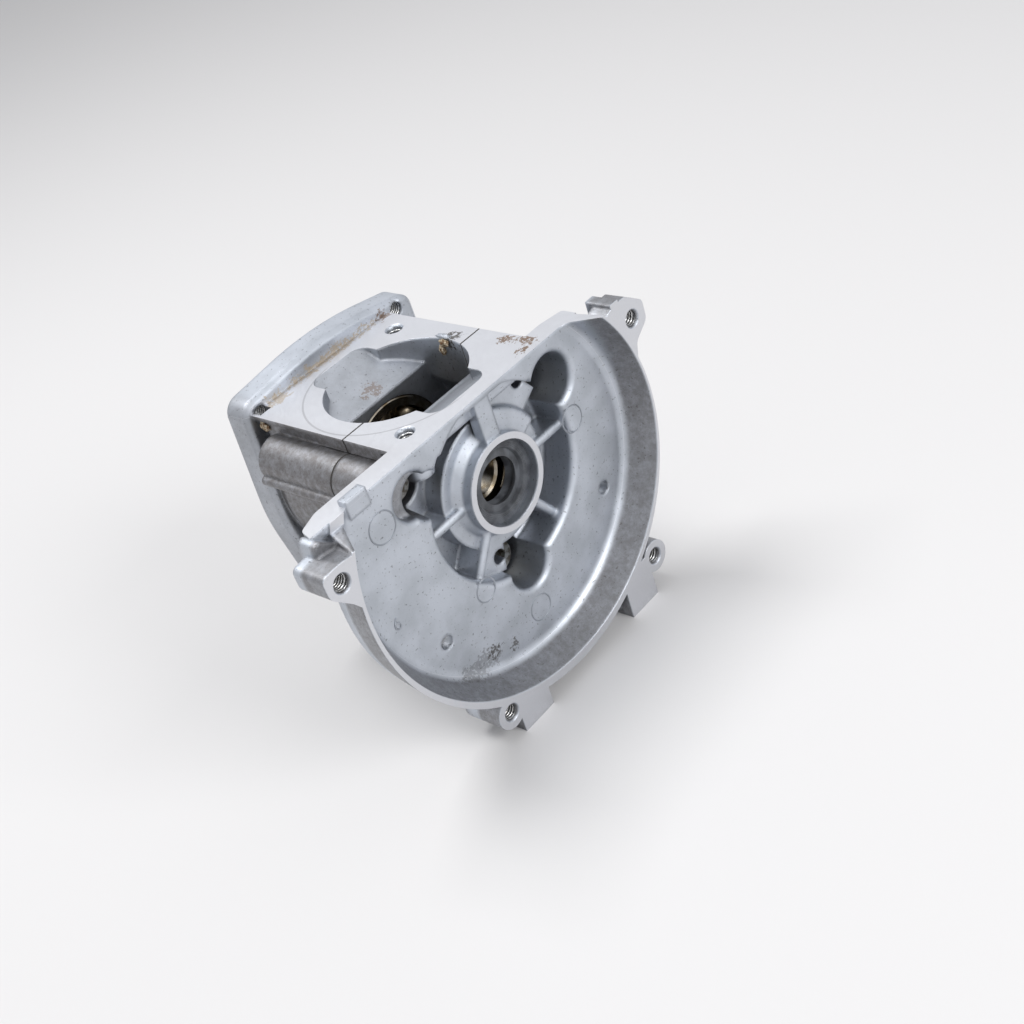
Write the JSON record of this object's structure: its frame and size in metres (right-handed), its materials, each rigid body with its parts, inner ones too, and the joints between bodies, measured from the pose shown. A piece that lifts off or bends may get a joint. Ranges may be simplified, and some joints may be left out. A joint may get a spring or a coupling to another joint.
{
  "type": "engine crankcase",
  "caption": "Two-stroke engine crankcase: two cast halves joined behind an open dish with a ribbed hub, ball bearings, lip seals and a cylinder deck.",
  "frame": {"origin": "the crank axis where the cylinder's axis meets it, midway between the two bearings", "axes": "+Z out of the cylinder deck along the cylinder's axis; +Y along the crank axis towards the rear flange, so the dish faces -Y; +X to the right seen from the dish side"},
  "size_m": [0.1154, 0.072, 0.0875],
  "materials": {
    "die_cast_aluminium": "satin as cast",
    "gasket_sheet": "matte",
    "plated_steel": "zinc plated",
    "bearing_steel": "ground, oily",
    "cage_steel": "pressed, oily",
    "seal_rubber": "satin",
    "spring_steel": "drawn wire"
  },
  "bodies": {
    "case": {"front_case_half": "die_cast_aluminium", "rear_case_half": "die_cast_aluminium", "case_gasket": "gasket_sheet", "case_screws": "plated_steel", "dowel_pins": "bearing_steel", "front_outer_ring": "bearing_steel", "rear_outer_ring": "bearing_steel", "front_oil_seal": "seal_rubber", "front_seal_spring": "spring_steel", "rear_oil_seal": "seal_rubber", "rear_seal_spring": "spring_steel"},
    "front_race": {"front_inner_ring": "bearing_steel"},
    "front_ball_set": {"front_balls": "bearing_steel", "front_cage_front": "cage_steel", "front_cage_rear": "cage_steel", "front_cage_rivets": "cage_steel"},
    "rear_race": {"rear_inner_ring": "bearing_steel"},
    "rear_ball_set": {"rear_balls": "bearing_steel", "rear_cage_front": "cage_steel", "rear_cage_rear": "cage_steel", "rear_cage_rivets": "cage_steel"}
  },
  "joints": [
    {"name": "front_race_spin", "type": "hinge", "parent": "case", "child": "front_race", "pos_m": [0, -0.0136, 0], "axis": [0, 1, 0], "continuous": true},
    {"name": "front_ball_spin", "type": "hinge", "parent": "case", "child": "front_ball_set", "pos_m": [0, -0.0136, 0], "axis": [0, 1, 0], "continuous": true},
    {"name": "rear_race_spin", "type": "hinge", "parent": "case", "child": "rear_race", "pos_m": [0, 0.0136, 0], "axis": [0, 1, 0], "continuous": true},
    {"name": "rear_ball_spin", "type": "hinge", "parent": "case", "child": "rear_ball_set", "pos_m": [0, 0.0136, 0], "axis": [0, 1, 0], "continuous": true}
  ],
  "couplings": [
    {"joint": "front_ball_spin", "follows": "front_race_spin", "ratio": 0.3648},
    {"joint": "rear_ball_spin", "follows": "rear_race_spin", "ratio": 0.3648}
  ]
}
